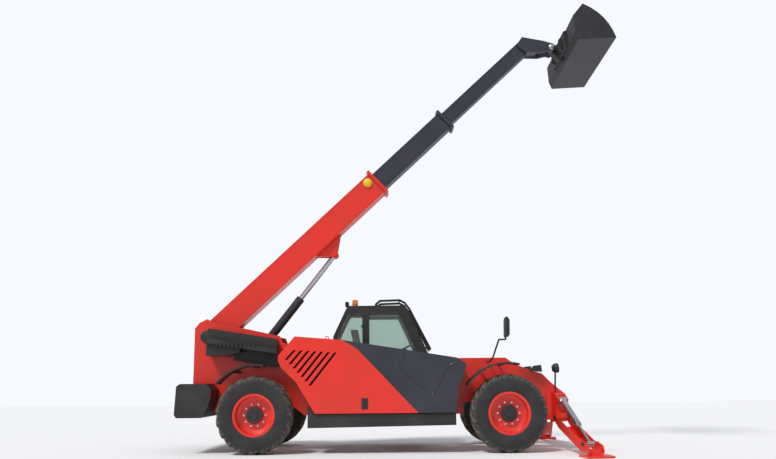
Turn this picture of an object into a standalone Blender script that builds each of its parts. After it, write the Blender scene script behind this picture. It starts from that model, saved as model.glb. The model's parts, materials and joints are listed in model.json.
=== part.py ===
"""Telehandler with a raised three-section boom, a bucket and two front stabilisers.

Metres, +X forward, +Y left, +Z up. X = 0 is the middle of the machine's length
and Z = 0 is the ground. Every outline is a list of (x, z) points unless noted.
"""
from math import atan2, cos, pi, radians, sin

import bmesh
import bpy
from mathutils import Matrix, Vector

# ---- running clearances
SEAT = 0.0003            # between faces that touch
RUN = 0.006              # between a moving piece and its neighbour

# ---- wheels and axles
WHEELBASE = 3.90
REAR_AXLE_X = -2.315
FRONT_AXLE_X = REAR_AXLE_X + WHEELBASE
TYRE_RADIUS = 0.589
TYRE_WIDTH = 0.405
BEAD_RADIUS = 0.308
RIM_HALF_WIDTH = 0.172
FLANGE_RADIUS = 0.335
TRACK_HALF = 0.9975      # wheel centre from the middle of the machine
KINGPIN_Y = 0.78
HUB_RADIUS = 0.1325
DISC_BACK = 0.010        # rim disc's rear face, outwards of the wheel centre
DISC_FRONT = 0.025
YOKE_GAP = 0.150         # kingpin yoke ears, above and below the axle line
YOKE_EAR = 0.040
WHEEL_STEPS = 40

# ---- chassis
PLATE_OUT = 0.40         # outer faces of the two frame plates
PLATE_IN = 0.365
MAST_REAR_X = -3.435
FRAME_TAIL_X = -3.15     # the frame's plates below the counterweight's top
WEIGHT_TOP = 1.07
CAB_FLOOR_Z = 1.00
AXLE_SEAT_Z = 0.74

# ---- boom
PIVOT = (-3.235, 1.83)
BOOM_ANGLE = radians(43.3)
OUTER_DEPTH = 0.42
OUTER_WIDTH = 0.34
OUTER_WALL = 0.012
OUTER_END = 3.89
MIDDLE_DEPTH = 0.33
MIDDLE_WIDTH = 0.27
MIDDLE_WALL = 0.010
MIDDLE_END = 5.53
INNER_DEPTH = 0.25
INNER_WIDTH = 0.21
INNER_WALL = 0.010
INNER_END = 7.48
TAIL_INSIDE = 2.75       # length of a section inside the one that carries it
COLLAR_LIP = 0.040
PAD_LENGTH = 0.16
LIFT_EYE = (2.47, -0.40)  # along and across the boom, from its pivot
EAR_IN = 0.055
EAR_OUT = 0.085
LIFT_BASE = (-3.00, 0.86)
LIFT_BARREL_RADIUS = 0.0725
LIFT_ROD_RADIUS = 0.0425
LIFT_BARREL_LENGTH = 2.06
LIFT_ROD_INSIDE = 1.10   # length of rod inside the barrel at rest
CARRIAGE_PIN = (2.715, 6.93)
PIN_RADIUS = 0.035

# ---- bucket
BUCKET_HALF = 1.16
BUCKET_WALL = 0.018

# ---- stabilisers, in a frame turned about the vertical through the leg's hinge
STAB_HINGE = (2.475, 0.66, 0.50)
STAB_SPLAY = radians(8.5)
STAB_FOOT = (1.284, 0.09)       # outwards of the hinge, and height
STAB_HEAD = (0.066, 0.77)
STAB_FOOT_EYE = (1.13, 0.175)   # the rod's eye, inwards of the foot
SOLE_THICK = 0.035
LEG_IN = 0.0975
LEG_OUT = 0.1125
STAB_BARREL_RADIUS = 0.052
STAB_ROD_RADIUS = 0.0225
STAB_BARREL_LENGTH = 0.72
STAB_ROD_INSIDE = 0.15

# ---- cowl and cab
COWL_OUT = 1.16
COWL_IN = 0.366
COWL_WALL = 0.030
CAB_NEAR = 0.27
CAB_FAR = 1.17
CAB_WALL = 0.05
DOOR_GAP = 0.006

RED = (0.80, 0.030, 0.012)
DARK = (0.035, 0.038, 0.060)
BLACK = (0.012, 0.012, 0.014)
STEEL = (0.55, 0.56, 0.58)


def clear_scene():
    for item in list(bpy.data.objects):
        bpy.data.objects.remove(item, do_unlink=True)


def finish_material(name, colour, roughness, metallic=0.0):
    material = bpy.data.materials.get(name)
    if material is None:
        material = bpy.data.materials.new(name)
        material.use_nodes = True
        shader = material.node_tree.nodes["Principled BSDF"]
        shader.inputs["Base Color"].default_value = (*colour, 1.0)
        shader.inputs["Roughness"].default_value = roughness
        shader.inputs["Metallic"].default_value = metallic
    return material


def red():
    return finish_material("red_paint", RED, 0.35)


def dark():
    return finish_material("dark_paint", DARK, 0.4)


def black():
    return finish_material("black_paint", BLACK, 0.5)


def rubber():
    return finish_material("tyre_rubber", (0.02, 0.02, 0.024), 0.85)


def glass():
    return finish_material("pale_glass", (0.55, 0.78, 0.70), 0.05)


def steel():
    return finish_material("bright_steel", STEEL, 0.2, 1.0)


def amber():
    return finish_material("amber_lens", (0.9, 0.3, 0.02), 0.25)


def fabric():
    return finish_material("seat_cover", (0.03, 0.03, 0.035), 0.9)


# ---- solids as bmesh

def solid(faces_from):
    """A closed mesh with outward faces from a function that fills it."""
    mesh = bmesh.new()
    faces_from(mesh)
    bmesh.ops.recalc_face_normals(mesh, faces=mesh.faces[:])
    return mesh


def placed(mesh, frame):
    """The mesh moved by frame, with its faces still outwards if frame mirrors."""
    bmesh.ops.transform(mesh, matrix=frame, verts=mesh.verts[:])
    if frame.determinant() < 0:
        bmesh.ops.reverse_faces(mesh, faces=mesh.faces[:])
    return mesh


def prism(outline, low, high, frame=None):
    """The (x, z) outline pulled along Y from low to high, then placed by frame."""
    def fill(mesh):
        near = [mesh.verts.new((x, low, z)) for x, z in outline]
        far = [mesh.verts.new((x, high, z)) for x, z in outline]
        mesh.faces.new(near)
        mesh.faces.new(far[::-1])
        count = len(outline)
        for i in range(count):
            j = (i + 1) % count
            mesh.faces.new((near[j], near[i], far[i], far[j]))
    mesh = solid(fill)
    return mesh if frame is None else placed(mesh, frame)


def block(low, high, frame=None):
    return prism([(low[0], low[2]), (high[0], low[2]), (high[0], high[2]), (low[0], high[2])],
                 low[1], high[1], frame)


def turned(profile, steps, start, direction, closed=True, phase=0.0):
    """A (distance, radius) profile turned about the line from start along direction."""
    axis = Vector(direction).normalized()
    side = axis.orthogonal().normalized()
    if abs(axis.z) < 0.9:
        side = (Vector((0, 0, 1)) - axis * axis.z).normalized()
    up = axis.cross(side)
    origin = Vector(start)

    def fill(mesh):
        rings = []
        for distance, radius in profile:
            middle = origin + axis * distance
            if radius == 0.0:
                rings.append([mesh.verts.new(middle)])
                continue
            turns = [phase + 2 * pi * k / steps for k in range(steps)]
            rings.append([mesh.verts.new(middle + side * radius * cos(t) + up * radius * sin(t))
                          for t in turns])
        pairs = list(zip(rings, rings[1:]))
        if closed:
            pairs.append((rings[-1], rings[0]))
        for one, two in pairs:
            if len(one) == 1 and len(two) == 1:
                continue
            for k in range(steps):
                m = (k + 1) % steps
                corners = [one[k % len(one)], one[m % len(one)], two[m % len(two)], two[k % len(two)]]
                corners = list(dict.fromkeys(corners))
                mesh.faces.new(corners)
    return solid(fill)


def rod(start, end, radius, steps=16):
    """A closed cylinder between two points."""
    length = (Vector(end) - Vector(start)).length
    profile = [(0, 0.0), (0, radius), (length, radius), (length, 0.0)]
    return turned(profile, steps, start, Vector(end) - Vector(start), closed=False)


def pipe(start, end, radius, bore, steps=16):
    """A cylinder with a hole right through."""
    length = (Vector(end) - Vector(start)).length
    profile = [(0, bore), (0, radius), (length, radius), (length, bore)]
    return turned(profile, steps, start, Vector(end) - Vector(start))


def bent_tube(points, radius, steps=10):
    """A round tube along a list of points, mitred at each bend."""
    path = [Vector(p) for p in points]

    def fill(mesh):
        rings = []
        side = None
        for i, point in enumerate(path):
            before = (point - path[i - 1]).normalized() if i else None
            after = (path[i + 1] - point).normalized() if i + 1 < len(path) else None
            along = (before or after) + (after or before)
            along.normalize()
            stretch = 1.0 if before is None or after is None else 1.0 / max(0.5, along.dot(after))
            if side is None:
                side = along.orthogonal().normalized()
            side = (side - along * side.dot(along)).normalized()
            up = along.cross(side)
            bend = (after or before) - (before or after)
            wide = bend.normalized() if bend.length > 1e-6 else side
            ring = []
            for k in range(steps):
                t = 2 * pi * k / steps
                off = side * cos(t) + up * sin(t)
                off += wide * off.dot(wide) * (stretch - 1.0)
                ring.append(mesh.verts.new(point + off * radius))
            rings.append(ring)
        for one, two in zip(rings, rings[1:]):
            for k in range(steps):
                m = (k + 1) % steps
                mesh.faces.new((one[k], one[m], two[m], two[k]))
        mesh.faces.new(rings[0][::-1])
        mesh.faces.new(rings[-1])
    return solid(fill)


def arc(centre, radius, first, last, count):
    """Points on an arc in the XZ plane, angles in degrees from +X towards +Z."""
    return [(centre[0] + radius * cos(radians(first + (last - first) * k / (count - 1))),
             centre[1] + radius * sin(radians(first + (last - first) * k / (count - 1))))
            for k in range(count)]


def disc(centre, radius, count=16):
    return arc(centre, radius, 0, 360 * (count - 1) / count, count)


def inset(outline, distance):
    """The outline moved inwards by distance along each edge."""
    count = len(outline)
    area = sum(outline[i][0] * outline[(i + 1) % count][1] - outline[(i + 1) % count][0] * outline[i][1]
               for i in range(count))
    turn = 1.0 if area > 0 else -1.0
    result = []
    for i in range(count):
        a = Vector(outline[i - 1])
        b = Vector(outline[i])
        c = Vector(outline[(i + 1) % count])
        one = (b - a).normalized()
        two = (c - b).normalized()
        n_one = Vector((-one.y, one.x)) * turn
        n_two = Vector((-two.y, two.x)) * turn
        both = (n_one + n_two).normalized()
        result.append(tuple(b + both * (distance / max(0.3, both.dot(n_one)))))
    return result


# ---- objects

def mesh_object(name, mesh, material, origin=(0, 0, 0)):
    data = bpy.data.meshes.new(name)
    bmesh.ops.translate(mesh, vec=-Vector(origin), verts=mesh.verts[:])
    mesh.to_mesh(data)
    mesh.free()
    data.materials.append(material)
    item = bpy.data.objects.new(name, data)
    item.location = origin
    bpy.context.scene.collection.objects.link(item)
    return item


def helper(name, mesh, material, group):
    """A hidden operand of a Boolean."""
    item = mesh_object(name, mesh, material)
    item.hide_render = True
    item.display_type = "WIRE"
    bpy.context.scene.collection.objects.unlink(item)
    group.objects.link(item)
    return item


def boolean(item, operation, meshes, material):
    if not meshes:
        return
    group = bpy.data.collections.new(item.name + "_" + operation.lower())
    bpy.context.scene.collection.children.link(group)
    for k, mesh in enumerate(meshes):
        helper("%s_%s_%d" % (item.name, operation.lower(), k), mesh, material, group)
    step = item.modifiers.new(operation.title(), "BOOLEAN")
    step.operation = operation
    step.solver = "EXACT"
    step.operand_type = "COLLECTION"
    step.collection = group


def piece(name, adds, material, cuts=(), origin=(0, 0, 0)):
    """One node: its solids joined, then its cuts taken out."""
    item = mesh_object(name, adds[0], material, origin)
    boolean(item, "UNION", list(adds[1:]), material)
    boolean(item, "DIFFERENCE", list(cuts), material)
    return item


# ---- frames

def along_boom(u, n):
    """World (x, z) of a point along and across the boom at rest."""
    return (PIVOT[0] + u * cos(BOOM_ANGLE) - n * sin(BOOM_ANGLE),
            PIVOT[1] + u * sin(BOOM_ANGLE) + n * cos(BOOM_ANGLE))


def boom_frame():
    """Turns (u, y, n) of the boom into world coordinates."""
    return (Matrix.Translation((PIVOT[0], 0, PIVOT[1]))
            @ Matrix.Rotation(-BOOM_ANGLE, 4, "Y"))


def stab_frame(side):
    """Turns (outwards, along the hinge, height) into world coordinates."""
    x, y, _ = STAB_HINGE
    out = Vector((sin(STAB_SPLAY), side * cos(STAB_SPLAY), 0))
    hinge = Vector((cos(STAB_SPLAY), -side * sin(STAB_SPLAY), 0))
    return Matrix(((out.x, hinge.x, 0, x), (out.y, hinge.y, 0, side * y), (0, 0, 1, 0), (0, 0, 0, 1)))


# ---- wheels

def tyre_profile():
    """(outwards, radius) of the tyre's section, round from one bead to the other."""
    half = TYRE_WIDTH / 2
    crown = TYRE_RADIUS
    right = [(0.152, BEAD_RADIUS + SEAT), (0.152, FLANGE_RADIUS + 0.002), (half - 0.026, FLANGE_RADIUS + 0.012),
             (half, 0.43), (half - 0.004, 0.50), (half - 0.026, crown - 0.028), (half - 0.070, crown - 0.006)]
    return right + [(0.0, crown)] + [(-s, r) for s, r in right[::-1]]


def rim_profile():
    well = BEAD_RADIUS - 0.020
    lip = RIM_HALF_WIDTH
    return [(0.085, 0.0), (0.085, HUB_RADIUS - 0.014), (0.072, HUB_RADIUS), (DISC_FRONT, HUB_RADIUS),
            (DISC_FRONT, 0.225), (0.045, well - 0.012), (lip - 0.007, well), (lip, FLANGE_RADIUS),
            (lip - 0.012, FLANGE_RADIUS), (lip - 0.017, BEAD_RADIUS), (0.017 - lip, BEAD_RADIUS),
            (0.012 - lip, FLANGE_RADIUS), (-lip, FLANGE_RADIUS), (0.007 - lip, well),
            (DISC_BACK, well - 0.012), (DISC_BACK, 0.0)]


def wheel(corner, axle_x, side):
    centre = (axle_x, side * TRACK_HALF, TYRE_RADIUS)
    out = (0, side, 0)
    piece("tyre_" + corner, [turned(tyre_profile(), WHEEL_STEPS, centre, out)], rubber(), origin=centre)
    piece("rim_" + corner, [turned(rim_profile(), WHEEL_STEPS, centre, out, closed=False)], red(), origin=centre)


def knuckle(corner, axle_x, side):
    """Kingpin post between the yoke's ears, and the hub that carries the rim."""
    pin = (axle_x, side * KINGPIN_Y, TYRE_RADIUS)
    low = (pin[0], pin[1], pin[2] - YOKE_GAP + SEAT)
    high = (pin[0], pin[1], pin[2] + YOKE_GAP - SEAT)
    post = rod(low, high, 0.070)
    hub = rod((axle_x, side * (KINGPIN_Y + 0.02), TYRE_RADIUS),
              (axle_x, side * (TRACK_HALF + DISC_BACK - SEAT), TYRE_RADIUS), HUB_RADIUS - 0.004, 24)
    piece("knuckle_" + corner, [post, hub], black(), origin=pin)


def axle(name, axle_x):
    """Beam, differential, saddle under the frame and a yoke at each end."""
    z = TYRE_RADIUS
    beam = block((axle_x - 0.085, -0.60, z - 0.10), (axle_x + 0.085, 0.60, z + 0.10))
    bulb = turned([(-0.23, 0.0), (-0.23, 0.10), (-0.12, 0.185), (0.12, 0.185), (0.23, 0.10), (0.23, 0.0)],
                  20, (axle_x, 0, z - 0.02), (1, 0, 0), closed=False)
    saddle = block((axle_x - 0.15, -PLATE_OUT, z + 0.05), (axle_x + 0.15, PLATE_OUT, AXLE_SEAT_Z - SEAT))
    adds = [beam, bulb, saddle]
    for side in (-1, 1):
        low, high = sorted((side * 0.55, side * 0.62))
        adds.append(block((axle_x - 0.075, low, z - YOKE_GAP - YOKE_EAR), (axle_x + 0.075, high, z + YOKE_GAP + YOKE_EAR)))
        for ear in (-1, 1):
            start, end = sorted((z + ear * YOKE_GAP, z + ear * (YOKE_GAP + YOKE_EAR)))
            low, high = sorted((side * 0.56, side * KINGPIN_Y))
            adds.append(block((axle_x - 0.07, low, start), (axle_x + 0.07, high, end)))
            adds.append(rod((axle_x, side * KINGPIN_Y, start), (axle_x, side * KINGPIN_Y, end), 0.075))
    piece(name, adds, black())


def running_gear():
    for end, axle_x in (("front", FRONT_AXLE_X), ("rear", REAR_AXLE_X)):
        axle(end + "_axle", axle_x)
        for hand, side in (("left", 1), ("right", -1)):
            knuckle(end + "_" + hand, axle_x, side)
            wheel(end + "_" + hand, axle_x, side)


# ---- chassis

def rear_outline():
    """Side of the mast and rear frame."""
    return [(MAST_REAR_X, WEIGHT_TOP + SEAT), (MAST_REAR_X, 1.97), (-3.36, 2.06), (-3.24, 2.12), (-3.17, 2.08),
            (-2.035, 1.83), (-1.95, 1.60), (-1.60, 1.20), (-1.45, 0.98), (-1.40, 0.56), (-1.62, 0.56),
            (REAR_AXLE_X + 0.45, AXLE_SEAT_Z), (REAR_AXLE_X - 0.45, AXLE_SEAT_Z), (-2.90, 0.62),
            (FRAME_TAIL_X, 0.62), (FRAME_TAIL_X, WEIGHT_TOP + SEAT)]


def middle_outline(top):
    return [(-1.62, 0.56), (0.95, 0.56), (0.95, top), (-1.50, top), (-1.62, 1.0)]


def front_outline():
    return [(0.70, 0.56), (0.84, AXLE_SEAT_Z), (FRONT_AXLE_X + 0.5, AXLE_SEAT_Z), (2.24, 0.46), (2.58, 0.46),
            (2.60, 0.86), (2.385, 1.04), (2.235, 1.19), (2.095, 1.23), (1.785, 1.35), (1.655, 1.45),
            (0.86, 1.45), (0.70, 1.20)]


def cowl_top(x):
    """Height of the cowl's top face at x."""
    return 1.72 - (x + 0.975) * 0.16


def bulkhead_outline():
    """Inner wall that the cowl is hinged to."""
    return [(-1.62, 0.95), (0.80, 0.95), (0.80, cowl_top(0.80) - COWL_WALL - RUN),
            (-0.975, cowl_top(-0.975) - COWL_WALL - RUN), (-1.64, 1.775 - COWL_WALL - RUN)]


def stab_bracket(side):
    """Column between the leg's plates, with an eye for the leg and one for the cylinder."""
    frame = stab_frame(side)
    column = prism([(-0.30, 0.42), (-0.02, 0.44), (0.035, 0.50), (0.02, 0.56), (-0.05, 0.60), (-0.02, 0.70),
                    (0.085, 0.735), (0.105, 0.78), (0.066, 0.81), (-0.06, 0.88), (-0.30, 0.88)],
                   -0.085, 0.085, frame)
    boss = prism(disc((0, 0.50), 0.035, 12), SEAT - LEG_IN, LEG_IN - SEAT, frame)
    slot = prism([(-0.02, 0.64), (0.20, 0.64), (0.20, 0.90), (-0.02, 0.90)], -0.058, 0.058, frame)
    return [column, boss], slot


def chassis():
    adds = []
    cuts = []
    for side in (-1, 1):
        low, high = sorted((side * PLATE_IN, side * PLATE_OUT))
        adds.append(prism(rear_outline(), low, high))
        adds.append(prism(middle_outline(CAB_FLOOR_Z - SEAT), low, high))
        adds.append(prism(front_outline(), low, high))
    adds.append(prism(bulkhead_outline(), -PLATE_OUT, -PLATE_IN))
    cross = ((-3.43, -3.39, WEIGHT_TOP + 0.02, 1.50), (-1.62, -1.25, 0.57, 0.72), (-0.40, 0.40, 0.57, 0.66),
             (0.60, 0.82, 0.57, 0.72), (2.26, 2.56, 0.48, 0.70), (-2.99, -2.85, 0.63, 0.78))
    for x0, x1, z0, z1 in cross:
        adds.append(block((x0, -PLATE_IN - 0.01, z0), (x1, PLATE_IN + 0.01, z1)))
    for side in (-1, 1):
        low, high = sorted((side * (PLATE_OUT - 0.01), side * 0.46))
        adds.append(block((2.29, low, 0.46), (2.56, high, 0.86)))
        column, slot = stab_bracket(side)
        adds += column
        cuts.append(slot)
    for side in (-1, 1):
        low, high = sorted((side * 0.0465, side * (PLATE_IN + 0.01)))
        adds.append(rod((LIFT_BASE[0], low, LIFT_BASE[1]), (LIFT_BASE[0], high, LIFT_BASE[1]), PIN_RADIUS))
    for x in HINGE_X:
        adds.append(block((x - 0.06, -PLATE_OUT, cowl_top(x) - 0.15),
                          (x + 0.06, -PLATE_IN, cowl_top(x + 0.06) - COWL_WALL - 2 * SEAT)))
    piece("chassis_frame", adds, red(), cuts)


HINGE_X = (-0.70, 0.45)


def counterweight():
    outline = [(-3.575, 0.60), (-3.555, 1.03), (-3.50, WEIGHT_TOP), (-3.09, WEIGHT_TOP), (-3.01, 0.97),
               (-3.02, 0.82), (-3.115, 0.58), (-3.16, 0.55), (-3.54, 0.55)]
    notch = block((FRAME_TAIL_X - SEAT, -PLATE_OUT - SEAT, 0.50), (-2.90, PLATE_OUT + SEAT, WEIGHT_TOP + 0.1))
    piece("counterweight", [prism(outline, -1.0, 1.0)], black(), [notch])


def engine():
    low = (-1.30, -0.95, 0.66)
    high = (-0.20, -PLATE_OUT - SEAT, 1.36)
    piece("engine_block", [block(low, high)], black())


def side_skirt():
    outline = [(-1.495, 0.39), (0.775, 0.42), (0.775, 0.594), (-1.40, 0.594), (-1.46, 0.70), (-1.495, 0.70)]
    piece("side_skirt", [prism(outline, -1.12, -PLATE_OUT - SEAT)], black())


def fuel_tank():
    """Tank under the cab with two foot recesses in its outer face."""
    body = block((-1.22, PLATE_OUT + SEAT, 0.42), (0.55, 1.12, CAB_FLOOR_Z - 0.012))
    cuts = [block((-0.40, 0.95, z), (0.05, 1.30, z + 0.17)) for z in (0.50, 0.74)]
    piece("fuel_tank", [body], black(), cuts)


def hydraulic_tank():
    body = block((-1.56, PLATE_OUT + SEAT, 0.60), (-1.26, 1.02, 1.50))
    cap = rod((-1.41, 0.85, 1.49), (-1.41, 0.85, 1.54), 0.05)
    piece("hydraulic_tank", [body, cap], red())


# ---- cowl

def rear_cowl_outline():
    return [(-1.705, 1.78), (-0.975, 1.72), (-0.735, 1.58), (0.195, 0.606), (-1.385, 0.606), (-1.535, 0.85),
            (-1.675, 1.08), (-1.905, 1.30), (-1.955, 1.40), (-1.955, 1.49)]


def front_cowl_outline():
    return [(-0.974, cowl_top(-0.974)), (0.800, cowl_top(0.800)), (0.945, 1.34), (0.945, 1.30), (0.825, 0.99),
            (0.765, 0.606), (0.196, 0.606), (-0.734, 1.58)]


def cowl_cavity():
    """The room inside both panels, open below and towards the boom."""
    t = COWL_WALL
    return [(-1.69, 1.78 - t), (-0.98, 1.72 - t), (0.79, cowl_top(0.79) - t), (0.91, 1.32), (0.91, 1.30),
            (0.794, 1.00), (0.735, 0.50), (-1.36, 0.50), (-1.36, 0.62), (-1.508, 0.865), (-1.652, 1.10),
            (-1.875, 1.315), (-1.924, 1.41), (-1.924, 1.48)]


def frame_room():
    """What the cowl leaves to the bulkhead it is hinged on and to the front plates."""
    t = COWL_WALL
    under = [(-2.20, 0.40), (1.20, 0.40), (1.20, 1.60), (0.81, 1.60), (0.81, cowl_top(0.81) - t),
             (-0.975, cowl_top(-0.975) - t), (-1.66, 1.777 - t), (-2.20, 1.82 - t)]
    return prism(under, -PLATE_OUT - RUN, 0)


def cowl():
    hinge = (0, -COWL_IN, cowl_top(0))
    cavity = prism(cowl_cavity(), -COWL_OUT + COWL_WALL, 0)
    slots = []
    for k in range(7):
        top = (-1.70 + 0.105 * k, 1.57 - 0.007 * k)
        low = (-1.835 + 0.062 * k, 1.42 - 0.065 * k)
        dx = 0.022
        slots.append(prism([(top[0] - dx, top[1]), (top[0] + dx, top[1]), (low[0] + dx, low[1]), (low[0] - dx, low[1])],
                           -1.30, -1.0))
    rear = prism(rear_cowl_outline(), -COWL_OUT, -COWL_IN)
    piece("cowl_rear_panel", [rear], red(), [cavity, frame_room()] + slots, origin=hinge)
    front = prism(front_cowl_outline(), -COWL_OUT, -COWL_IN)
    cavity = prism(cowl_cavity(), -COWL_OUT + COWL_WALL, 0)
    piece("cowl_front_panel", [front], dark(), [cavity, frame_room()], origin=hinge)


# ---- cab

def cab_outline():
    return [(-1.20, CAB_FLOOR_Z), (-1.25, 1.40), (-1.205, 1.86), (-0.985, 2.33), (-0.93, 2.38), (0.0, 2.38),
            (0.07, 2.33), (0.415, 1.58), (0.50, 1.35), (0.50, CAB_FLOOR_Z)]


def front_window():
    return [(-0.585, 2.24), (-0.105, 2.24), (-0.045, 2.18), (0.145, 1.77), (0.25, 1.50), (-0.585, 1.50)]


def rear_window():
    return [(-0.705, 2.24), (-0.93, 2.24), (-0.97, 2.20), (-1.13, 1.86), (-1.15, 1.55), (-0.705, 1.55)]


def sloped_slab(top, low, depth, first, last):
    """Outline of a slab along the line top-low, from share first to share last of it."""
    a = Vector(top)
    b = Vector(low)
    along = (b - a).normalized()
    across = Vector((-along.y, along.x))
    start = a + (b - a) * first
    end = a + (b - a) * last
    return [tuple(start + across * depth[0]), tuple(end + across * depth[0]),
            tuple(end + across * depth[1]), tuple(start + across * depth[1])]


SCREEN_LINE = ((0.07, 2.33), (0.415, 1.58))
BACKLIGHT_LINE = ((-0.985, 2.33), (-1.205, 1.86))
GLASS_EDGE = 0.06


def door_outline():
    return [(-0.69, 1.06), (-0.69, 2.27), (-0.03, 2.27), (0.31, 1.53), (0.40, 1.34), (0.40, 1.06)]


def cab():
    inner = inset(cab_outline(), CAB_WALL)
    room = prism(inner, CAB_NEAR + CAB_WALL, CAB_FAR - CAB_WALL)
    cuts = [room]
    cuts.append(prism(front_window(), CAB_NEAR - 0.01, CAB_NEAR + CAB_WALL + 0.01))
    for low in (CAB_NEAR - 0.01, CAB_FAR - CAB_WALL - 0.01):
        cuts.append(prism(rear_window(), low, low + CAB_WALL + 0.02))
    cuts.append(prism(inset(door_outline(), -DOOR_GAP), CAB_FAR - CAB_WALL - 0.01, CAB_FAR + 0.01))
    for line in (SCREEN_LINE, BACKLIGHT_LINE):
        slab = sloped_slab(*line, (-0.09, 0.09), 0.06, 0.94)
        cuts.append(prism(slab, CAB_NEAR + GLASS_EDGE, CAB_FAR - GLASS_EDGE))
    adds = [prism(cab_outline(), CAB_NEAR, CAB_FAR)]
    for z in DOOR_HINGE_Z:
        adds.append(rod((-0.70, DOOR_HINGE_Y, z), (-0.70, DOOR_HINGE_Y, z + 0.06), 0.012, 12))
        adds.append(block((-0.76, CAB_FAR - 0.01, z), (-0.70, DOOR_HINGE_Y + 0.006, z + 0.06)))
    piece("cab_frame", adds, black(), cuts)


DOOR_HINGE_Z = (1.25, 2.05)
DOOR_HINGE_Y = 1.188


def cab_glass():
    """Panes in the middle of the wall that holds them."""
    pane = 0.008
    near = CAB_NEAR + CAB_WALL / 2
    far = CAB_FAR - CAB_WALL / 2
    for name, outline, low in (("right_front_glass", front_window(), near), ("right_rear_glass", rear_window(), near),
                               ("left_rear_glass", rear_window(), far - pane)):
        piece(name, [prism(inset(outline, SEAT), low, low + pane)], glass())
    for name, line, low in (("windscreen", SCREEN_LINE, -0.030), ("rear_glass", BACKLIGHT_LINE, 0.022)):
        slab = sloped_slab(*line, (low, low + pane), 0.0605, 0.9395)
        piece(name, [prism(slab, CAB_NEAR + GLASS_EDGE + SEAT, CAB_FAR - GLASS_EDGE - SEAT)], glass())


def door_window():
    return [(-0.62, 1.30), (-0.62, 2.20), (-0.08, 2.20), (0.24, 1.50), (0.30, 1.30)]


def cab_door():
    hinge = (-0.70, DOOR_HINGE_Y, 1.06)
    adds = [prism(door_outline(), CAB_FAR - 0.04, CAB_FAR)]
    for z in DOOR_HINGE_Z:
        low = z + 0.06 + SEAT
        adds.append(rod((-0.70, DOOR_HINGE_Y, low), (-0.70, DOOR_HINGE_Y, low + 0.05), 0.012, 12))
        adds.append(block((-0.70, CAB_FAR + 0.003, low), (-0.66, DOOR_HINGE_Y + 0.006, low + 0.05)))
        adds.append(block((-0.685, CAB_FAR - 0.02, low), (-0.66, DOOR_HINGE_Y, low + 0.05)))
    adds.append(block((0.24, CAB_FAR - 0.01, 1.20), (0.36, CAB_FAR + 0.02, 1.26)))
    piece("cab_door", adds, black(), [prism(door_window(), CAB_FAR - 0.06, CAB_FAR + 0.001)], origin=hinge)
    pane = prism(inset(door_window(), SEAT), CAB_FAR - 0.026, CAB_FAR - 0.018)
    piece("door_glass", [pane], glass(), origin=hinge)


def seat():
    floor = CAB_FLOOR_Z + CAB_WALL + SEAT
    base = block((-0.72, 0.52, floor), (-0.32, 0.92, 1.30))
    cushion = block((-0.78, 0.48, 1.29), (-0.24, 0.96, 1.43))
    back = prism([(-0.80, 1.36), (-0.68, 1.36), (-0.80, 1.98), (-0.92, 1.98)], 0.50, 0.94)
    piece("seat", [base, cushion, back], fabric())


def steering_column():
    floor = CAB_FLOOR_Z + CAB_WALL + SEAT
    low = (0.26, 0.72, floor + 0.10)
    top = (0.02, 0.72, 1.66)
    along = Vector(top) - Vector(low)
    foot = block((0.16, 0.60, floor), (0.40, 0.84, floor + 0.16))
    column = rod(low, top, 0.035, 10)
    hub = Vector(top)
    ring = turned([(0.012, 0.165), (0.0, 0.178), (-0.012, 0.165), (0.0, 0.152)], 24, hub, along)
    spoke = block((-0.165, -0.018, -0.008), (0.165, 0.018, 0.008))
    place = Matrix.Translation(hub) @ Matrix.Rotation(atan2(along.x, along.z), 4, "Y")
    spoke = placed(spoke, place)
    piece("steering_column", [foot, column, ring, spoke], black())


def roof_guard():
    """Two rails over the roof and down the windscreen, with rungs between them."""
    path = ((-0.465, 2.42), (-0.40, 2.475), (-0.055, 2.485), (0.03, 2.44), (0.115, 2.33), (0.475, 1.62))
    rails = []
    for y in (0.42, 1.02):
        rails.append(bent_tube([(x, y, z) for x, z in path], 0.020, 10))
        rails.append(block((-0.49, y - 0.03, 2.38 + SEAT), (-0.44, y + 0.03, 2.43)))
        rails.append(block((0.39, y - 0.02, 1.66), (0.47, y + 0.02, 1.69)))
    for x, z in ((-0.06, 2.485), (0.20, 2.162), (0.34, 1.886), (0.455, 1.66)):
        rails.append(rod((x, 0.42, z), (x, 1.02, z), 0.012, 8))
    cut = prism([(0.0, 2.4), (0.07 + SEAT, 2.33), (0.415 + SEAT, 1.58), (0.3, 1.5), (-0.2, 1.5), (-0.2, 2.4)], 0.3, 1.2)
    piece("roof_guard", rails, black(), [cut])


def beacon():
    profile = [(0.0, 0.0), (0.0, 0.048), (0.03, 0.048), (0.035, 0.055), (0.11, 0.045), (0.12, 0.0)]
    lamp = turned(profile, 16, (-0.835, 0.42, 2.38 + SEAT), (0, 0, 1), closed=False)
    piece("beacon", [lamp], amber())


# ---- valve guard, fenders, mirrors and lamps

def valve_guard():
    """Covered step beside the mast: lid, tread shelf and the boxes under it."""
    inner = -PLATE_OUT - SEAT
    lid = prism([(-3.165, 1.95), (-2.065, 1.775), (-2.045, 1.60), (-3.165, 1.78)], -0.66, inner)
    shelf = prism([(-3.165, 1.79), (-2.045, 1.61), (-2.025, 1.53), (-3.165, 1.71)], -0.80, inner)
    rear_box = prism([(-3.165, 1.72), (-2.62, 1.63), (-2.62, 1.56), (-2.85, 1.505), (-3.165, 1.51)], -0.74, inner)
    front_box = prism([(-2.75, 1.66), (-2.03, 1.545), (-2.03, 1.34), (-2.15, 1.33), (-2.75, 1.44)], -0.58, inner)
    piece("valve_guard", [lid, shelf, rear_box, front_box], black())


FENDER_RADIUS = 0.745
FENDER_WALL = 0.028


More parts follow.
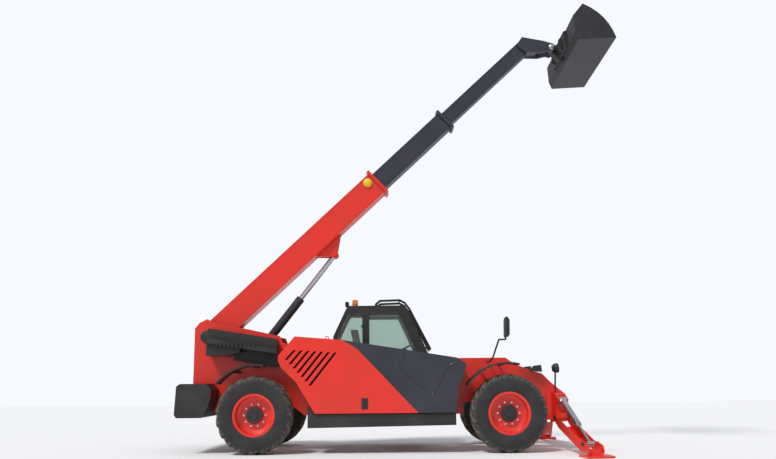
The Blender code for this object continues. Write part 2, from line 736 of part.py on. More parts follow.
def fenders():
    """Four arched fenders, each on two stays from the frame."""
    solids = []
    for axle_x, first, last in ((FRONT_AXLE_X, 146, 76), (REAR_AXLE_X, 141, 80)):
        centre = (axle_x, TYRE_RADIUS)
        outline = arc(centre, FENDER_RADIUS + FENDER_WALL, first, last, 11)
        outline += arc(centre, FENDER_RADIUS, last, first, 11)
        for side in (-1, 1):
            low, high = sorted((side * 0.83, side * 1.17))
            name = "fender_%s_%s" % ("front" if axle_x > 0 else "rear", "left" if side > 0 else "right")
            adds = [prism(outline, low, high)]
            for angle in (118, 94):
                x, z = arc(centre, FENDER_RADIUS + 0.004, angle, angle + 1, 2)[0]
                adds.append(rod((x, side * (PLATE_OUT + SEAT), z), (x, side * 1.10, z), 0.020, 10))
            solids.append((name, adds))
    for name, adds in solids:
        piece(name, adds, black())


def mirror_post():
    inner = -PLATE_OUT - SEAT
    pipe_run = bent_tube([(1.36, inner, 1.385), (1.36, -0.74, 1.385), (1.40, -0.80, 1.44), (1.50, -0.84, 1.72),
                          (1.60, -0.86, 1.72), (1.615, -0.88, 1.80)], 0.014, 10)
    head = prism([(1.585, 1.77), (1.605, 1.75), (1.635, 1.76), (1.655, 1.80), (1.66, 2.02), (1.63, 2.07),
                  (1.605, 2.07), (1.59, 2.02)], -0.99, -0.78)
    piece("mirror_post", [pipe_run, head], black())


def front_lamps():
    """A headlamp on each frame plate and a work lamp on the right bracket."""
    box = [(2.035, 1.245), (2.10, 1.315), (2.20, 1.325), (2.215, 1.215), (2.14, 1.2195)]
    solids = []
    for side in (-1, 1):
        low, high = sorted((side * (PLATE_OUT + SEAT), side * 0.56))
        solids.append(("headlamp_" + ("left" if side > 0 else "right"), [prism(box, low, high)]))
    for name, adds in solids:
        piece(name, adds, black())
    foot = (2.42, -0.52, 0.88 + SEAT)
    stalk = bent_tube([foot, (2.42, -0.52, 1.00), (2.43, -0.53, 1.20)], 0.014, 10)
    lamp = turned([(0, 0.0), (0, 0.04), (0.03, 0.07), (0.09, 0.078), (0.10, 0.07), (0.10, 0.0)],
                  16, (2.38, -0.53, 1.265), (1, 0, 0.1), closed=False)
    piece("work_lamp", [lamp, stalk], black())


# ---- boom

def box_section(first, last, depth, width, wall, collar, tail_pad=None):
    """Tube along the boom: with a collar it is open in front, without one at its tail."""
    frame = boom_frame()
    adds = [block((first, -width / 2, -depth / 2), (last, width / 2, depth / 2), frame)]
    if collar:
        adds.append(block((last - 0.05, -width / 2 - COLLAR_LIP, -depth / 2 - COLLAR_LIP),
                          (last, width / 2 + COLLAR_LIP, depth / 2 + COLLAR_LIP), frame))
    if tail_pad:
        adds.append(block((first, -width / 2 - tail_pad[0], -depth / 2 - tail_pad[1]),
                          (first + PAD_LENGTH, width / 2 + tail_pad[0], depth / 2 + tail_pad[1]), frame))
    mouth = last + 0.1 if collar else last - 0.1
    tail = first + wall if collar else first - 0.1
    bore = block((tail, wall - width / 2, wall - depth / 2), (mouth, width / 2 - wall, depth / 2 - wall),
                 frame)
    return adds, bore


def pad_size(outer_width, outer_depth, outer_wall, width, depth):
    """How far the tail pads stand out so that they touch the tube around them."""
    return ((outer_width - width) / 2 - outer_wall - SEAT, (outer_depth - depth) / 2 - outer_wall - SEAT)


def boom_outer():
    frame = boom_frame()
    half = OUTER_DEPTH / 2
    adds, bore = box_section(0.14, OUTER_END, OUTER_DEPTH, OUTER_WIDTH, OUTER_WALL, True)
    tail = prism([(-0.11, -0.14), (0.02, -half), (0.60, -half), (0.60, half), (0.16, half), (-0.11, 0.06)],
                 -OUTER_WIDTH / 2, OUTER_WIDTH / 2, frame)
    pin = rod((PIVOT[0], SEAT - PLATE_IN, PIVOT[1]), (PIVOT[0], PLATE_IN - SEAT, PIVOT[1]), 0.085, 20)
    ears = []
    ear = [(2.20, 0.01 - half), (2.80, 0.01 - half)] + arc(LIFT_EYE, 0.065, 0, -180, 7)
    for side in (-1, 1):
        low, high = sorted((side * EAR_IN, side * EAR_OUT))
        ears.append(prism(ear, low, high, frame))
        stub_low, stub_high = sorted((side * (0.046 + SEAT), side * 0.11))
        ears.append(prism(disc(LIFT_EYE, 0.035, 12), stub_low, stub_high, frame))
    slot = block((2.20, -0.052, -half - 0.02), (2.80, 0.052, 0.02 - half), frame)
    bore_tail = block((0.22, OUTER_WALL - OUTER_WIDTH / 2, OUTER_WALL - half),
                      (1.0, OUTER_WIDTH / 2 - OUTER_WALL, half - OUTER_WALL), frame)
    piece("boom_outer", adds + [tail, pin] + ears, red(), [bore, bore_tail, slot],
          origin=(PIVOT[0], 0, PIVOT[1]))


def boom_middle():
    pads = pad_size(OUTER_WIDTH, OUTER_DEPTH, OUTER_WALL, MIDDLE_WIDTH, MIDDLE_DEPTH)
    tail = OUTER_END - TAIL_INSIDE
    adds, bore = box_section(tail, MIDDLE_END, MIDDLE_DEPTH, MIDDLE_WIDTH, MIDDLE_WALL, True, pads)
    x, z = along_boom(tail, 0)
    piece("boom_middle", adds, dark(), [bore], origin=(x, 0, z))


HEAD_IN = 0.105
HEAD_OUT = 0.150


def head_outline():
    return [(2.185, 7.13), (2.075, 6.98), (2.245, 6.84), (2.485, 6.83), (2.63, 6.865), (2.715, 6.845),
            (2.795, 6.93), (2.74, 7.00), (2.535, 7.06), (2.375, 7.09)]


def boom_inner():
    """Inner section, its pads, and the two cheeks that hold the carriage."""
    pads = pad_size(MIDDLE_WIDTH, MIDDLE_DEPTH, MIDDLE_WALL, INNER_WIDTH, INNER_DEPTH)
    tail = MIDDLE_END - TAIL_INSIDE
    adds, bore = box_section(tail, INNER_END, INNER_DEPTH, INNER_WIDTH, INNER_WALL, False, pads)
    for side in (-1, 1):
        low, high = sorted((side * HEAD_IN, side * HEAD_OUT))
        adds.append(prism(head_outline(), low, high))
    web = prism([(2.20, 7.10), (2.10, 6.97), (2.245, 6.86), (2.44, 6.86), (2.44, 7.06)],
                -HEAD_IN - 0.002, HEAD_IN + 0.002)
    adds.append(web)
    x, z = along_boom(tail, 0)
    piece("boom_inner", adds, dark(), [bore], origin=(x, 0, z))


# ---- carriage and bucket

def bucket_back():
    return [(2.875, 7.06), (2.895, 6.76), (2.945, 6.63)]


def bucket_outline():
    """Top lip, bulged mouth edge, cutting edge, floor and back."""
    top = Vector((3.045, 7.27))
    edge = Vector((3.575, 6.66))
    chord = edge - top
    out = Vector((-chord.y, chord.x)).normalized()
    if out.x < 0:
        out = -out
    rim = []
    for k in range(1, 6):
        share = k / 6
        rim.append(tuple(top + chord * share + out * (0.09 * 4 * share * (1 - share))))
    return [tuple(top)] + rim + [tuple(edge)] + bucket_back()[::-1]


def bucket():
    outline = bucket_outline()
    shell = prism(outline, -BUCKET_HALF, BUCKET_HALF)
    wall = BUCKET_WALL
    cavity = [(3.035, 7.60), (3.90, 6.90), (3.90, 6.68), (3.52, 6.679), (2.96, 6.649), (2.914, 6.764),
              (2.894, 7.056), (3.055, 7.262)]
    room = prism(cavity, wall - BUCKET_HALF, BUCKET_HALF - wall)
    x, z = CARRIAGE_PIN
    piece("bucket", [shell], dark(), [room], origin=(x, 0, z))


def carriage():
    """Lug on the head's pin, and the hitch frame behind the bucket."""
    x, z = CARRIAGE_PIN
    lug = [(2.84, 7.00), (x, z + 0.070), (x - 0.05, z + 0.05), (x - 0.07, z), (x - 0.05, z - 0.05), (x, z - 0.070),
           (2.86, 6.70)]
    adds = [prism(lug, -0.085, 0.085)]
    adds.append(rod((x, SEAT - HEAD_IN, z), (x, HEAD_IN - SEAT, z), 0.045))
    slab = [(2.875 - SEAT, 7.06), (2.895 - SEAT, 6.76), (2.855, 6.757), (2.835, 7.05)]
    adds.append(prism(slab, -0.55, 0.55))
    for side in (-1, 1):
        low, high = sorted((side * 0.30, side * 0.34))
        adds.append(prism([(2.84, 7.04), (2.79, 6.99), (2.80, 6.80), (2.858, 6.77)], low, high))
    piece("carriage", adds, black(), origin=(x, 0, z))


# ---- cylinders

def cylinder_pair(name, base, eye, barrel_radius, rod_radius, barrel_length, rod_inside, eye_half, eye_radius,
                  frame):
    """Barrel on its base eye, and its rod out to the far eye, in the plane of frame."""
    run = Vector((eye[0] - base[0], eye[1] - base[1]))
    length = run.length
    turn = atan2(run.y, run.x)
    local = frame @ Matrix.Translation((base[0], 0, base[1])) @ Matrix.Rotation(-turn, 4, "Y")

    def line(first, last, radius, bore=0.0):
        if bore:
            mesh = pipe((first, 0, 0), (last, 0, 0), radius, bore)
        else:
            mesh = rod((first, 0, 0), (last, 0, 0), radius)
        return placed(mesh, local)

    start = local @ Vector((0, 0, 0))
    barrel = line(0.7 * barrel_radius, barrel_length, barrel_radius)
    base_eye = prism(disc((0, 0), barrel_radius * 0.95, 14), -eye_half, eye_half, local)
    bore = line(0.12, barrel_length + 0.1, rod_radius + SEAT)
    piece(name + "_barrel", [barrel, base_eye], black(), [bore], origin=start)
    far = prism(disc((length, 0), eye_radius, 14), -eye_half, eye_half, local)
    shaft = line(barrel_length - rod_inside, length - eye_radius * 0.6, rod_radius)
    piece(name + "_rod", [shaft, far], steel(), origin=start)


def lift_cylinder():
    eye = along_boom(*LIFT_EYE)
    cylinder_pair("lift", LIFT_BASE, eye, LIFT_BARREL_RADIUS, LIFT_ROD_RADIUS, LIFT_BARREL_LENGTH, LIFT_ROD_INSIDE,
                  0.0457, 0.045,
                  Matrix.Identity(4))


def stabiliser(hand, side):
    frame = stab_frame(side)
    foot_u, foot_z = STAB_FOOT
    x, y, hinge_z = STAB_HINGE
    run = Vector((foot_u, foot_z - hinge_z))
    length = run.length
    leg = frame @ Matrix.Translation((0, 0, hinge_z)) @ Matrix.Rotation(-atan2(run.y, run.x), 4, "Y")
    plate = [(-0.05, -0.045), (0.0, -0.062), (0.16, -0.100), (length - 0.22, -0.100), (length - 0.02, -0.050),
             (length + 0.075, -0.020), (length + 0.075, 0.03), (length + 0.02, 0.085), (length - 0.08, 0.075),
             (length - 0.30, 0.035), (0.10, 0.035), (0.0, 0.055), (-0.05, 0.035)]
    adds = []
    for end in (-1, 1):
        low, high = sorted((end * LEG_IN, end * LEG_OUT))
        adds.append(prism(plate, low, high, leg))
    adds.append(block((0.17, -LEG_IN - 0.002, -0.100), (length - 0.36, LEG_IN + 0.002, -0.088), leg))
    origin = (x, side * y, hinge_z)
    piece("stabiliser_leg_" + hand, adds, red(), origin=origin)
    sole = [(foot_u - 0.10, 0.0), (foot_u + 0.22, 0.0), (foot_u + 0.24, 0.012), (foot_u + 0.24, 0.03),
            (foot_u + 0.10, SOLE_THICK), (foot_u - 0.06, SOLE_THICK), (foot_u - 0.12, 0.02)]
    pad = [prism(sole, -0.20, 0.20, frame)]
    pad.append(prism([(foot_u - 0.045, 0.02), (foot_u + 0.05, 0.02), (foot_u + 0.04, 0.115), (foot_u - 0.035, 0.115)],
                     SEAT - LEG_IN, LEG_IN - SEAT, frame))
    piece("stabiliser_foot_" + hand, pad, red(), origin=origin)
    cylinder_pair("stabiliser_%s" % hand, STAB_HEAD, STAB_FOOT_EYE, STAB_BARREL_RADIUS, STAB_ROD_RADIUS,
                  STAB_BARREL_LENGTH, STAB_ROD_INSIDE, 0.0575, 0.035, frame)


def main():
    clear_scene()
    running_gear()
    chassis()
    counterweight()
    engine()
    side_skirt()
    fuel_tank()
    hydraulic_tank()
    cowl()
    cab()
    cab_glass()
    cab_door()
    seat()
    steering_column()
    roof_guard()
    beacon()
    valve_guard()
    fenders()
    mirror_post()
    front_lamps()
    boom_outer()
    boom_middle()
    boom_inner()
    carriage()
    bucket()
    lift_cylinder()
    for hand, side in (("left", 1), ("right", -1)):
        stabiliser(hand, side)


main()
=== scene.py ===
import json
import math

import bpy
import bmesh
import numpy as np
from mathutils import Matrix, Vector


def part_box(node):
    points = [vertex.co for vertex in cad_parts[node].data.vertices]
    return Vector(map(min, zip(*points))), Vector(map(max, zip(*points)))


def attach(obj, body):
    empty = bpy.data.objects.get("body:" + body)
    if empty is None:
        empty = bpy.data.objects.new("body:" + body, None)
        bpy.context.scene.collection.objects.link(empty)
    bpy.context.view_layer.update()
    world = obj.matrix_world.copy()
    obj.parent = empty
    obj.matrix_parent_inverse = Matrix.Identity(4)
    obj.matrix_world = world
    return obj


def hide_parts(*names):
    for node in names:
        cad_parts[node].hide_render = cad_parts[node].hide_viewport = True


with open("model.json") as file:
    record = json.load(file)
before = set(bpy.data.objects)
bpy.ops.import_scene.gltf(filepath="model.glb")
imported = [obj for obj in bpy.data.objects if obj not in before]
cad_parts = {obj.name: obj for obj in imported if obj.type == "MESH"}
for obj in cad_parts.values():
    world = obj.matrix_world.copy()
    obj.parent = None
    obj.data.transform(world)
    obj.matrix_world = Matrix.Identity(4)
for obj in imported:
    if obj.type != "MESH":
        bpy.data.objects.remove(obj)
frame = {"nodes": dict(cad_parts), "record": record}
nodes = frame["nodes"]
slotOf = {row["node"]: row["material_slot"] for row in frame["record"]["subparts"]}
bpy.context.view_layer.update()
print("loaded", len(nodes), "CAD pieces")


# materials: a base colour that drifts slowly over the piece, and a roughness that drifts with it

def driftingFinish(name, look):
    material = bpy.data.materials.new(name)
    material.use_nodes = True
    tree = material.node_tree
    shader = tree.nodes["Principled BSDF"]
    place = tree.nodes.new("ShaderNodeTexCoord")
    noise = tree.nodes.new("ShaderNodeTexNoise")
    noise.inputs["Scale"].default_value = look["patchScale"]
    noise.inputs["Detail"].default_value = 5
    ramp = tree.nodes.new("ShaderNodeValToRGB")
    ramp.color_ramp.elements[0].position = 0.38
    ramp.color_ramp.elements[1].position = 0.72
    ramp.color_ramp.elements[0].color = (*look["colour"], 1)
    ramp.color_ramp.elements[1].color = (*look["worn"], 1)
    rough = tree.nodes.new("ShaderNodeMapRange")
    rough.inputs["To Min"].default_value = look["roughness"]
    rough.inputs["To Max"].default_value = look["roughness"] + look["roughnessDrift"]
    tree.links.new(place.outputs["Object"], noise.inputs["Vector"])
    tree.links.new(noise.outputs["Fac"], ramp.inputs["Fac"])
    tree.links.new(noise.outputs["Fac"], rough.inputs["Value"])
    tree.links.new(ramp.outputs["Color"], shader.inputs["Base Color"])
    tree.links.new(rough.outputs["Result"], shader.inputs["Roughness"])
    shader.inputs["Metallic"].default_value = look.get("metallic", 0)
    shader.inputs["Coat Weight"].default_value = look.get("coat", 0)
    shader.inputs["Coat Roughness"].default_value = 0.12
    return material


def clearFinish(name, look):
    material = bpy.data.materials.new(name)
    material.use_nodes = True
    shader = material.node_tree.nodes["Principled BSDF"]
    shader.inputs["Base Color"].default_value = (*look["colour"], 1)
    shader.inputs["Roughness"].default_value = look["roughness"]
    shader.inputs["Transmission Weight"].default_value = look["clearness"]
    shader.inputs["IOR"].default_value = look["ior"]
    return material


def dustyRubber(name, look):
    # dust follows the tyre's own attribute, broken up by noise
    material = driftingFinish(name, look)
    tree = material.node_tree
    shader = tree.nodes["Principled BSDF"]
    dust = tree.nodes.new("ShaderNodeAttribute")
    dust.attribute_name = "dust"
    mix = tree.nodes.new("ShaderNodeMix")
    mix.data_type = "RGBA"
    mix.inputs[7].default_value = (*look["dustColour"], 1)
    ramp = tree.nodes["Color Ramp"]
    tree.links.new(ramp.outputs["Color"], mix.inputs[6])
    tree.links.new(dust.outputs["Fac"], mix.inputs[0])
    tree.links.new(mix.outputs[2], shader.inputs["Base Color"])
    return material


finishes = {
    "red_paint": {"colour": (0.78, 0.022, 0.008), "worn": (0.66, 0.024, 0.010), "roughness": 0.30,
                  "roughnessDrift": 0.14, "patchScale": 1.7, "coat": 0.22},
    "dark_paint": {"colour": (0.020, 0.021, 0.034), "worn": (0.030, 0.031, 0.046), "roughness": 0.36,
                   "roughnessDrift": 0.16, "patchScale": 2.1, "coat": 0.12},
    "black_paint": {"colour": (0.012, 0.012, 0.014), "worn": (0.030, 0.028, 0.026), "roughness": 0.46,
                    "roughnessDrift": 0.18, "patchScale": 3.0},
    "bright_steel": {"colour": (0.62, 0.63, 0.65), "worn": (0.48, 0.49, 0.51), "roughness": 0.20,
                     "roughnessDrift": 0.15, "patchScale": 6.0, "metallic": 1},
    "amber": {"colour": (0.90, 0.26, 0.02), "worn": (0.80, 0.20, 0.02), "roughness": 0.18,
              "roughnessDrift": 0.05, "patchScale": 8.0, "coat": 0.6},
    "seat_cover": {"colour": (0.028, 0.028, 0.032), "worn": (0.045, 0.045, 0.050), "roughness": 0.80,
                   "roughnessDrift": 0.10, "patchScale": 30.0},
    "bucket_steel": {"colour": (0.013, 0.013, 0.018), "worn": (0.026, 0.025, 0.028), "roughness": 0.44,
                     "roughnessDrift": 0.20, "patchScale": 2.6},
    # near-black used as painted shade: it stands in for the dark inside the cowl's V-shaped recess
    "recess_shade_black": {"colour": (0.004, 0.004, 0.004), "worn": (0.006, 0.006, 0.006), "roughness": 0.90,
                   "roughnessDrift": 0.05, "patchScale": 3.0},
    "yellow_cap": {"colour": (0.85, 0.52, 0.03), "worn": (0.75, 0.44, 0.03), "roughness": 0.30,
                   "roughnessDrift": 0.12, "patchScale": 6.0},
}
materials = {name: driftingFinish(name, look) for name, look in finishes.items()}
materials["tyre_rubber"] = dustyRubber("tyre_rubber", {
    "colour": (0.018, 0.018, 0.020), "worn": (0.034, 0.032, 0.030), "roughness": 0.72, "roughnessDrift": 0.15,
    "patchScale": 5.0, "dustColour": (0.32, 0.27, 0.20)})
materials["glass"] = clearFinish("glass", {"colour": (0.80, 0.95, 0.88), "roughness": 0.03, "clearness": 0.92,
                                            "ior": 1.12})
materials["lamp_lens"] = clearFinish("lamp_lens", {"colour": (0.90, 0.92, 0.94), "roughness": 0.08, "clearness": 0.55,
                                                  "ior": 1.40})
for name, piece in nodes.items():
    piece.data.materials.clear()
    piece.data.materials.append(materials["bucket_steel" if name == "bucket" else slotOf[name]])
print("materials on every CAD piece")


# shapes: each returns its points and faces as arrays

def unit(vector):
    vector = np.asarray(vector, float)
    return vector / np.linalg.norm(vector)


def gridShape(points, wrapAcross=True):
    # quads between neighbouring points of a grid, closed round its second direction
    rows, columns = points.shape[:2]
    last = columns if wrapAcross else columns - 1
    r, c = np.meshgrid(np.arange(rows - 1), np.arange(last), indexing="ij")
    nextC = (c + 1) % columns
    quads = np.stack([r * columns + c, r * columns + nextC, (r + 1) * columns + nextC, (r + 1) * columns + c], -1)
    return points.reshape(-1, 3), quads.reshape(-1, 4)


def turnedShape(profile, centre, direction, steps=32):
    # profile of (along, radius) carried round an axis: centre + along*axis + radius*(cos a*e1 + sin a*e2)
    axis = unit(direction)
    e1 = unit(np.cross(axis, (0, 0, 1) if abs(axis[2]) < 0.9 else (1, 0, 0)))
    e2 = np.cross(axis, e1)
    along, radius = np.array(profile, float).T
    a = np.linspace(0, 2 * np.pi, steps, endpoint=False)
    ring = np.cos(a)[:, None] * e1 + np.sin(a)[:, None] * e2
    points = np.asarray(centre, float) + along[:, None, None] * axis + radius[:, None, None] * ring
    return gridShape(points)


def pipeShape(path, radius, steps=12):
    # ring of the given radius carried along a path, drawn in to a point at both ends
    path = np.asarray(path, float)
    tangent = np.gradient(path, axis=0)
    tangent /= np.linalg.norm(tangent, axis=1)[:, None]
    side = np.cross(tangent, (0.13, 0.21, 0.97))
    side /= np.linalg.norm(side, axis=1)[:, None]
    up = np.cross(side, tangent)
    order = np.r_[0, np.arange(len(path)), len(path) - 1]
    radii = np.r_[0, np.full(len(path), radius), 0]
    a = np.linspace(0, 2 * np.pi, steps, endpoint=False)[None, :, None]
    ring = np.cos(a) * side[order][:, None] + np.sin(a) * up[order][:, None]
    return gridShape(path[order][:, None] + radii[:, None, None] * ring)


def blockShape(low, high, origin=(0, 0, 0), axes=np.eye(3)):
    # eight corners in the given axes
    low, high = np.array(low, float), np.array(high, float)
    bits = np.array([[i >> 2 & 1, i >> 1 & 1, i & 1] for i in range(8)])
    corners = np.asarray(origin, float) + (low + bits * (high - low)) @ np.asarray(axes, float)
    faces = np.array([[0, 1, 3, 2], [4, 6, 7, 5], [0, 4, 5, 1], [2, 3, 7, 6], [0, 2, 6, 4], [1, 5, 7, 3]])
    return corners, faces


def slabShape(corners, low, high):
    # four (x, z) corners between two y planes
    points = np.array([(x, y, z) for y in (low, high) for x, z in corners], float)
    faces = np.array([[0, 1, 2, 3], [7, 6, 5, 4], [0, 4, 5, 1], [1, 5, 6, 2], [2, 6, 7, 3], [3, 7, 4, 0]])
    return points, faces


def easedPath(points, count=60):
    # points spaced evenly along a polyline, with its corners averaged round
    points = np.asarray(points, float)
    length = np.r_[0, np.cumsum(np.linalg.norm(np.diff(points, axis=0), axis=1))]
    s = np.linspace(0, length[-1], count)
    path = np.stack([np.interp(s, length, points[:, k]) for k in range(3)], -1)
    for _ in range(6):
        path[1:-1] = (path[:-2] + path[1:-1] + path[2:]) / 3
    return path


def makePiece(name, shapes, finish, body, stands=(), bevel=0.0, dust=None):
    starts = np.cumsum([0] + [len(points) for points, quads in shapes])
    points = np.concatenate([shape[0] for shape in shapes])
    quads = np.concatenate([shape[1] + start for shape, start in zip(shapes, starts)])
    mesh = bpy.data.meshes.new(name)
    mesh.from_pydata(points.tolist(), [], quads.tolist())
    if dust is not None:
        mesh.attributes.new("dust", "FLOAT", "POINT").data.foreach_set("value", dust.astype(np.float32).ravel())
    work = bmesh.new()
    work.from_mesh(mesh)
    bmesh.ops.remove_doubles(work, verts=work.verts, dist=0.00005)
    bmesh.ops.recalc_face_normals(work, faces=work.faces)
    work.to_mesh(mesh)
    work.free()
    mesh.polygons.foreach_set("use_smooth", [True] * len(mesh.polygons))
    mesh.set_sharp_from_angle(angle=math.radians(35))
    mesh.materials.append(materials[finish])
    item = bpy.data.objects.new(name, mesh)
    bpy.context.scene.collection.objects.link(item)
    if bevel:
        edge = item.modifiers.new("softEdge", "BEVEL")
        edge.width = bevel
        edge.segments = 2
    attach(item, body)
    if stands:
        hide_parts(*stands)
    return item


# wheels

tyre = {"radius": 0.589, "lugHeight": 0.024, "lugCount": 19, "lugShare": 0.46, "lean": 0.55, "stepsRound": 380,
        "stepsAcross": 72}
hub = {"radius": 0.128, "nutCircle": 0.1675, "nuts": 10, "nutRadius": 0.017}


def tyreShape(centre):
    # carcass profile carried round the axle, with leaning lugs raised on it by a mask of angle and width
    floor = tyre["radius"] - tyre["lugHeight"]
    half = np.array([(0.150, 0.306), (0.168, 0.318), (0.186, 0.350), (0.1975, 0.400), (0.2010, 0.450),
                     (0.1960, 0.500), (0.1830, 0.538), (0.1600, floor - 0.008), (0.0800, floor), (0, floor)])
    outline = np.concatenate([half, half[-2::-1] * (-1, 1), [(-0.08, 0.306), (0.08, 0.306), (0.150, 0.306)]])
    length = np.r_[0, np.cumsum(np.linalg.norm(np.diff(outline, axis=0), axis=1))]
    s = np.linspace(0, length[-1], tyre["stepsAcross"])
    y, r = np.interp(s, length, outline[:, 0]), np.interp(s, length, outline[:, 1])
    a = np.linspace(0, 2 * np.pi, tyre["stepsRound"], endpoint=False)
    phase = (a[None] * tyre["lugCount"] / (2 * np.pi) + tyre["lean"] * np.abs(y[:, None]) / 0.2 * 1.6
             + 0.5 * (y[:, None] > 0)) % 1
    flank = np.clip(np.minimum(phase, tyre["lugShare"] - phase) / 0.06, 0, 1)
    reach = np.clip((r[:, None] - 0.515) / 0.03, 0, 1)
    raised = flank * reach
    radius = np.minimum(r[:, None] + tyre["lugHeight"] * raised, tyre["radius"])
    points = np.stack([radius * np.sin(a)[None], np.broadcast_to(y[:, None], radius.shape),
                       radius * np.cos(a)[None]], -1) + centre
    dust = np.clip(4 * flank * (1 - flank), 0, 1) * reach * 0.9 + 0.10 * reach
    return gridShape(points), dust


for corner in ("front_left", "front_right", "rear_left", "rear_right"):
    low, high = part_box("tyre_" + corner)
    middle = (np.array(low) + np.array(high)) / 2
    side = 1 if middle[1] > 0 else -1
    body = corner + "_wheel"
    shape, dust = tyreShape(middle)
    makePiece("tread_tyre_" + corner, [shape], "tyre_rubber", body, stands=("tyre_" + corner,), dust=dust)
    out = np.array((0, side, 0))
    face = middle + out * 0.0255
    cap = [(0, 0), (0, hub["radius"]), (0.060, hub["radius"]), (0.072, 0.118), (0.075, 0.060), (0.090, 0.055), (0.090, 0)]
    makePiece("hub_cap_" + corner, [turnedShape(cap, face, out, 40)], "black_paint", body)
    turn = np.arange(hub["nuts"]) * 2 * np.pi / hub["nuts"]
    nutProfile = [(0, 0), (0, hub["nutRadius"]), (0.018, hub["nutRadius"]), (0.018, 0.010), (0.032, 0.010), (0.032, 0)]
    makePiece("wheel_nuts_" + corner,
              [turnedShape(nutProfile, face + hub["nutCircle"] * np.array((math.cos(t), 0, math.sin(t))), out, 6)
               for t in turn], "bright_steel", body)
print("wheels done")


# boom: weld strips along the sections, pin caps, and the cap near the outer section's end

boom = {"pivot": (-3.235, 0, 1.83), "angle": math.radians(43.3), "stripHalf": 0.004, "stripOut": 0.0025}
alongBoom = np.array((math.cos(boom["angle"]), 0, math.sin(boom["angle"])))
acrossBoom = np.array((-math.sin(boom["angle"]), 0, math.cos(boom["angle"])))
boomAxes = np.array([alongBoom, (0, 1, 0), acrossBoom])


def weldStrips(first, last, halfWidth, rows):
    # thin raised beads on both sides of a section
    shapes = []
    for side in (-1, 1):
        low, high = sorted((side * (halfWidth - 0.001), side * (halfWidth + boom["stripOut"])))
        for n in rows:
            shapes.append(blockShape((first, low, n - boom["stripHalf"]), (last, high, n + boom["stripHalf"]),
                                     boom["pivot"], boomAxes))
    return shapes


makePiece("outer_welds", weldStrips(0.64, 3.83, 0.170, (-0.185, 0.185)), "red_paint", "boom")
makePiece("middle_seams", weldStrips(3.93, 5.47, 0.135, (-0.12, 0.12)), "dark_paint", "boom_middle")
makePiece("inner_seams", weldStrips(5.57, 7.30, 0.105, (-0.09, 0.09)), "dark_paint", "boom_inner")
dome = [(0, 0), (0, 0.080), (0.012, 0.080), (0.030, 0.070), (0.044, 0.045), (0.050, 0)]
domeAt = np.array(boom["pivot"]) + 3.73 * alongBoom + 0.10 * acrossBoom + np.array((0, -0.1701, 0))
makePiece("boom_end_cap", [turnedShape(dome, domeAt, (0, -1, 0), 36)], "yellow_cap", "boom")


def capsBothSides(centre, halfWidth, radius, thick, axis=(0, 1, 0)):
    axis = unit(axis)
    profile = [(0, 0), (0, radius), (thick * 0.7, radius), (thick, radius * 0.85), (thick, 0)]
    return [turnedShape(profile, np.asarray(centre, float) + side * halfWidth * axis, side * axis, 28)
            for side in (-1, 1)]


makePiece("pivot_caps", capsBothSides(boom["pivot"], 0.4003, 0.105, 0.022), "black_paint", "machine")
makePiece("head_pin_caps", capsBothSides((2.715, 0, 6.93), 0.1503, 0.055, 0.018), "bright_steel", "boom_inner")
print("boom done")


# stabilisers: pin caps on the hinge and on the foot's eye

for name, side in (("left", 1), ("right", -1)):
    splay = math.radians(8.5)
    outward = np.array((math.sin(splay), side * math.cos(splay), 0))
    flat = np.array((outward[1], -outward[0], 0))
    root = np.array((2.475, side * 0.66, 0))
    hinge = root + np.array((0, 0, 0.50))
    eye = root + 1.13 * outward + np.array((0, 0, 0.175))
    makePiece("leg_pins_" + name, capsBothSides(hinge, 0.1128, 0.042, 0.014, flat)
              + capsBothSides(eye, 0.1128, 0.032, 0.012, flat), "black_paint", "stabiliser_" + name)
print("stabilisers done")


# lamps and latch

lensProfile = [(0, 0), (0, 0.040), (0.006, 0.040), (0.012, 0.024), (0.014, 0)]
for name, side in (("left", 1), ("right", -1)):
    lensAt = (2.209, side * 0.48, 1.268)
    makePiece("headlamp_lens_" + name, [turnedShape(lensProfile, lensAt, (1, 0, 0.08), 28)], "lamp_lens", "machine")
workProfile = [(along, radius * 1.6) for along, radius in lensProfile]
makePiece("work_lamp_lens", [turnedShape(workProfile, (2.4795, -0.53, 1.275), (1, 0, 0.1), 32)], "lamp_lens", "machine")
latch = {"low": (-0.67, -1.166, 0.665), "high": (-0.57, -1.159, 0.835)}
makePiece("cowl_latch", [blockShape(latch["low"], latch["high"]),
                         blockShape((-0.635, -1.174, 0.73), (-0.605, -1.165, 0.77))], "black_paint", "cowl", bevel=0.003)
# painted shade: a near-black sheet set a few centimetres inside the cowl's side fills the V-shaped recess with dark
louvreShadeCorners = [(-1.87, 1.39), (-1.42, 0.99), (-1.03, 1.56), (-1.74, 1.60)]
makePiece("louvre_recess_shade", [slabShape(louvreShadeCorners, -1.125, -1.120)], "recess_shade_black", "cowl")
hoodRib = [(0.001, 1.475), (-0.100, 1.292), (0.411, 0.851), (0.675, 1.325), (0.772, 1.359)]
makePiece("hood_rib", [pipeShape(easedPath([(x, -1.160, z) for x, z in hoodRib]), 0.010, 10)], "dark_paint", "cowl")
ringTurn = np.linspace(0, 2 * np.pi, 25)
hoodEyes = {"x": (-1.214, 0.163), "radius": 0.024, "thick": 0.007}
for number, x in enumerate(hoodEyes["x"]):
    top = 1.72 - (x + 0.975) * (0.16 if x > -0.975 else 0.0822)
    ring = np.stack([x + hoodEyes["radius"] * np.cos(ringTurn), np.full(25, -1.0),
                     top + 0.020 + hoodEyes["radius"] * np.sin(ringTurn)], -1)
    makePiece("hood_eye_%d" % number, [pipeShape(ring, hoodEyes["thick"], 8)],
              "red_paint" if x < -0.975 else "dark_paint", "cowl")
trayLow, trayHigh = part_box("valve_guard")
teeth = {"count": 15, "width": 0.010, "depth": 0.018, "height": 0.075}
toothAxes = np.array([(0.94, 0, -0.34), (0, 1, 0), (0.34, 0, 0.94)])
toothX = np.linspace(trayLow[0] + 0.10, trayHigh[0] - 0.10, teeth["count"])
toothZ = trayLow[2] + 0.50 * (trayHigh[2] - trayLow[2])
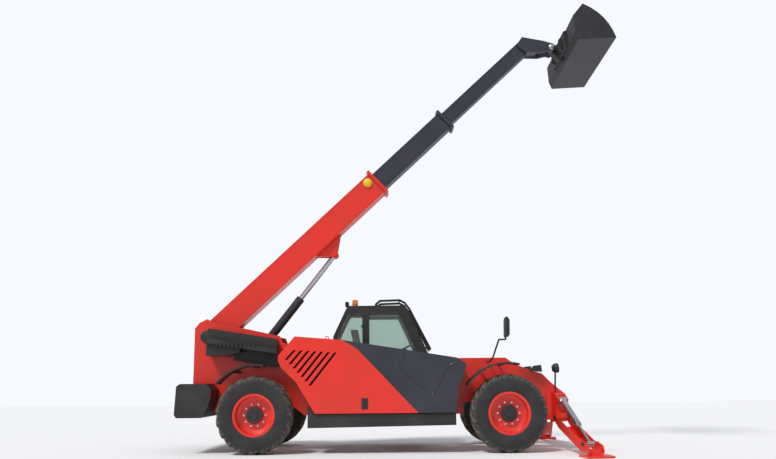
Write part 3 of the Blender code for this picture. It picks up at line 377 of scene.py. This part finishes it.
makePiece("tray_teeth", [blockShape((0, -teeth["depth"], 0), (teeth["width"], 0.002, teeth["height"]),
                                    (x, trayLow[1], toothZ), toothAxes) for x in toothX], "black_paint", "machine")
boss = [(0, 0), (0, 0.055), (0.035, 0.055), (0.042, 0.048), (0.042, 0)]
makePiece("mast_boss", [turnedShape(boss, (-1.97, -0.4003, 1.66), (0, -1, 0), 32)], "red_paint", "machine")
cabLow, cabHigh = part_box("cab_frame")
rearLight = blockShape((cabLow[0] + 0.24, 0.42, cabHigh[2] + 0.0005), (cabLow[0] + 0.30, 0.60, cabHigh[2] + 0.085))
makePiece("rear_roof_light", [rearLight], "black_paint", "machine", bevel=0.006)
print("lamps and latch done")


# studio

studio = {"floorSize": 60, "floorColour": (0.88, 0.88, 0.88), "sunStrength": 2.2, "ambient": 0.55}


def floorFinish():
    material = bpy.data.materials.new("studioFloor")
    material.use_nodes = True
    shader = material.node_tree.nodes["Principled BSDF"]
    shader.inputs["Base Color"].default_value = (*studio["floorColour"], 1)
    shader.inputs["Roughness"].default_value = 0.9
    return material


half = studio["floorSize"] / 2
floorMesh = bpy.data.meshes.new("studioFloor")
floorMesh.from_pydata([(-half, -half, 0), (half, -half, 0), (half, half, 0), (-half, half, 0)], [], [(0, 1, 2, 3)])
floorMesh.materials.append(floorFinish())
floorPlane = bpy.data.objects.new("studioFloor", floorMesh)
bpy.context.scene.collection.objects.link(floorPlane)

world = bpy.data.worlds.new("studio")
world.use_nodes = True
bpy.context.scene.world = world
tree = world.node_tree
background = tree.nodes["Background"]
background.inputs["Color"].default_value = (0.93, 0.95, 1, 1)
path = tree.nodes.new("ShaderNodeLightPath")
strength = tree.nodes.new("ShaderNodeMapRange")
strength.inputs["To Min"].default_value = studio["ambient"]
strength.inputs["To Max"].default_value = 1
tree.links.new(path.outputs["Is Camera Ray"], strength.inputs["Value"])
tree.links.new(strength.outputs["Result"], background.inputs["Strength"])

sun = bpy.data.lights.new("softSun", "SUN")
sun.energy = studio["sunStrength"]
sun.angle = math.radians(14)
sunLamp = bpy.data.objects.new("softSun", sun)
sunLamp.rotation_euler = (math.radians(38), math.radians(-12), math.radians(-24))
bpy.context.scene.collection.objects.link(sunLamp)

view = {"place": (-0.195, -13.87, 1.05), "yaw": -0.21, "pitch": 10.7, "roll": -0.5, "focalShare": 815 / 776}
yaw, pitch, roll = (math.radians(view[key]) for key in ("yaw", "pitch", "roll"))
ahead = np.array((math.sin(yaw) * math.cos(pitch), math.cos(yaw) * math.cos(pitch), math.sin(pitch)))
right = unit(np.cross(ahead, (0, 0, 1)))
above = np.cross(right, ahead)
rolledRight = right * math.cos(roll) + above * math.sin(roll)
rolledUp = above * math.cos(roll) - right * math.sin(roll)
lens = bpy.data.cameras.new("camera")
lens.sensor_width = 36
lens.lens = 36 * view["focalShare"]
lens.clip_end = 200
camera = bpy.data.objects.new("camera", lens)
turned = np.column_stack([rolledRight, rolledUp, -ahead])
camera.matrix_world = Matrix.Translation(view["place"]) @ Matrix(turned.tolist()).to_4x4()
bpy.context.scene.collection.objects.link(camera)
bpy.context.scene.camera = camera
bpy.context.scene.view_settings.view_transform = "Standard"
print("studio done")
